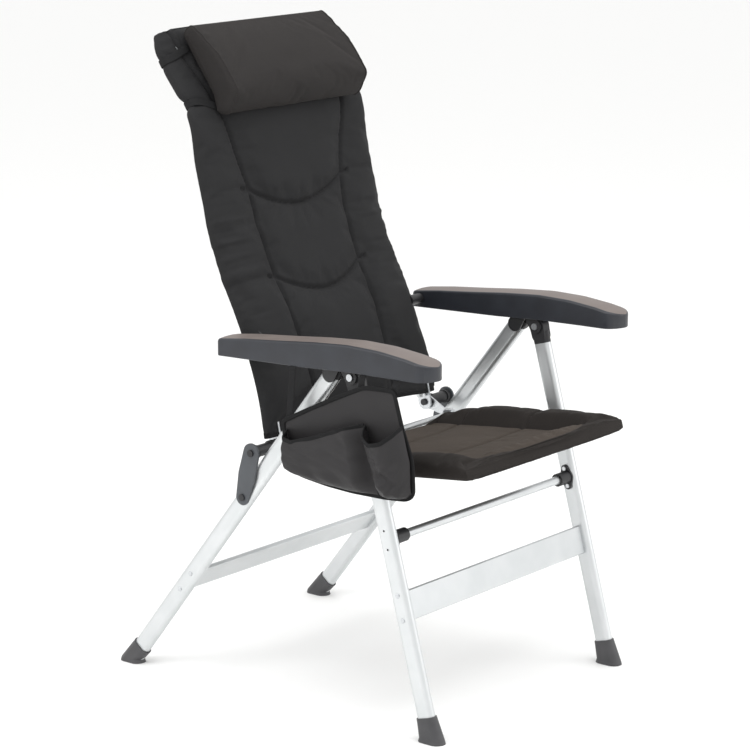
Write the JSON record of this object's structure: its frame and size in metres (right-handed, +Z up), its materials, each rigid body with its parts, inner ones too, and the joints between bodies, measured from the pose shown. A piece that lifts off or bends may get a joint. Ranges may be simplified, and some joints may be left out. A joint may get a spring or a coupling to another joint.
{
  "type": "folding camp chair",
  "caption": "High-back folding camp chair with padded seat and back, head pillow, moulded armrests, reclining back and a fabric side pocket.",
  "frame": {"origin": "on the floor, midway between the front and the rear feet, on the chair's middle plane", "axes": "+Z up, the sitter faces -Y, +X to the sitter's left"},
  "size_m": [0.6851, 0.8027, 1.2248],
  "materials": {
    "leg_aluminium": "satin anodised",
    "bracket_steel": "zinc plated",
    "black_plastic": "moulded",
    "foot_plastic": "moulded",
    "link_metal": "powder coated",
    "arm_plastic": "satin moulded",
    "pad_fabric": "woven polyester",
    "strap_fabric": "woven webbing",
    "pocket_fabric": "coated nylon"
  },
  "bodies": {
    "rear_frame": {"rear_leg_right": "leg_aluminium", "rear_leg_left": "leg_aluminium", "rear_foot_right": "foot_plastic", "rear_foot_left": "foot_plastic", "rear_cross_bar": "leg_aluminium", "rear_bar_rivets": "bracket_steel", "leg_bracket_right": "black_plastic", "leg_bracket_left": "black_plastic", "leg_pivot_bolt_right": "bracket_steel", "leg_pivot_bolt_left": "bracket_steel", "catch_pin_right": "bracket_steel", "catch_pin_left": "bracket_steel"},
    "front_frame": {"front_leg_right": "leg_aluminium", "front_leg_left": "leg_aluminium", "front_foot_right": "foot_plastic", "front_foot_left": "foot_plastic", "front_leg_cap_right": "black_plastic", "front_leg_cap_left": "black_plastic", "front_cross_bar": "leg_aluminium", "front_bar_rivets": "bracket_steel", "round_cross_tube": "leg_aluminium", "tube_socket_right": "black_plastic", "tube_socket_left": "black_plastic", "socket_screws": "bracket_steel", "seat_pivot_bolts": "bracket_steel"},
    "links": {"link_plate_right": "link_metal", "link_plate_left": "link_metal", "link_bolts": "bracket_steel", "hinge_axle_right": "bracket_steel", "hinge_axle_left": "bracket_steel"},
    "back_hinge": {"hinge_drum_right": "black_plastic", "hinge_drum_left": "black_plastic", "hinge_washers": "black_plastic"},
    "seat": {"seat_frame": "leg_aluminium", "seat_rear_tube": "leg_aluminium", "seat_plate_right": "bracket_steel", "seat_plate_left": "bracket_steel", "seat_pad": "pad_fabric"},
    "backrest": {"back_tube_right": "leg_aluminium", "back_tube_left": "leg_aluminium", "back_top_tube": "leg_aluminium", "back_plate_right": "bracket_steel", "back_plate_left": "bracket_steel", "arm_lug_right": "bracket_steel", "arm_lug_left": "bracket_steel", "back_pad": "pad_fabric", "pillow_straps": "strap_fabric"},
    "pillow": {"head_pillow": "pad_fabric"},
    "arm_pin_right": {"arm_pin_right": "bracket_steel"},
    "arm_pin_left": {"arm_pin_left": "bracket_steel"},
    "armrest_right": {"armrest_right": "arm_plastic", "armrest_rack_right": "black_plastic", "pocket_panel": "pocket_fabric", "book_pocket": "pocket_fabric", "bottle_pocket": "pocket_fabric", "pocket_straps": "strap_fabric"},
    "armrest_left": {"armrest_left": "arm_plastic", "armrest_rack_left": "black_plastic"}
  },
  "joints": [
    {"name": "fold", "type": "hinge", "parent": "rear_frame", "child": "links", "pos_m": [0, 0.064, 0.38], "axis": [-1, 0, 0], "range_deg": [0, 125]},
    {"name": "front_leg_fold", "type": "hinge", "parent": "rear_frame", "child": "front_frame", "pos_m": [0, -0.19, 0.641], "axis": [-1, 0, 0], "range_deg": [-51.8, 0]},
    {"name": "seat_fold", "type": "hinge", "parent": "links", "child": "seat", "pos_m": [0, 0.042, 0.467], "axis": [-1, 0, 0], "range_deg": [-93.98, 0]},
    {"name": "back_fold", "type": "hinge", "parent": "links", "child": "back_hinge", "pos_m": [0, 0.042, 0.467], "axis": [-1, 0, 0], "range_deg": [-170.98, 0]},
    {"name": "recline", "type": "hinge", "parent": "back_hinge", "child": "backrest", "pos_m": [0, 0.042, 0.467], "axis": [-1, 0, 0], "range_deg": [0, 35]},
    {"name": "pillow_height", "type": "slide", "parent": "backrest", "child": "pillow", "axis": [0, 0.6174, 0.7867], "range_m": [-0.05, 0]},
    {"name": "arm_pin_fold_right", "type": "hinge", "parent": "backrest", "child": "arm_pin_right", "pos_m": [0, 0.082, 0.664], "axis": [-1, 0, 0], "range_deg": [0, 82.69]},
    {"name": "arm_tilt_right", "type": "hinge", "parent": "arm_pin_right", "child": "armrest_right", "pos_m": [0, 0.082, 0.664], "axis": [-1, 0, 0], "range_deg": [-26.07, 0]},
    {"name": "arm_pin_fold_left", "type": "hinge", "parent": "backrest", "child": "arm_pin_left", "pos_m": [0, 0.082, 0.664], "axis": [-1, 0, 0], "range_deg": [0, 82.69]},
    {"name": "arm_tilt_left", "type": "hinge", "parent": "arm_pin_left", "child": "armrest_left", "pos_m": [0, 0.082, 0.664], "axis": [-1, 0, 0], "range_deg": [-26.07, 0]}
  ],
  "couplings": [
    {"joint": "front_leg_fold", "follows": "fold", "ratio": -0.41397},
    {"joint": "seat_fold", "follows": "fold", "ratio": -0.75146},
    {"joint": "back_fold", "follows": "fold", "ratio": -1.3675},
    {"joint": "arm_pin_fold_right", "follows": "fold", "ratio": 0.66108},
    {"joint": "arm_tilt_right", "follows": "recline", "ratio": -0.74339},
    {"joint": "arm_pin_fold_left", "follows": "fold", "ratio": 0.66108},
    {"joint": "arm_tilt_left", "follows": "recline", "ratio": -0.74339}
  ]
}
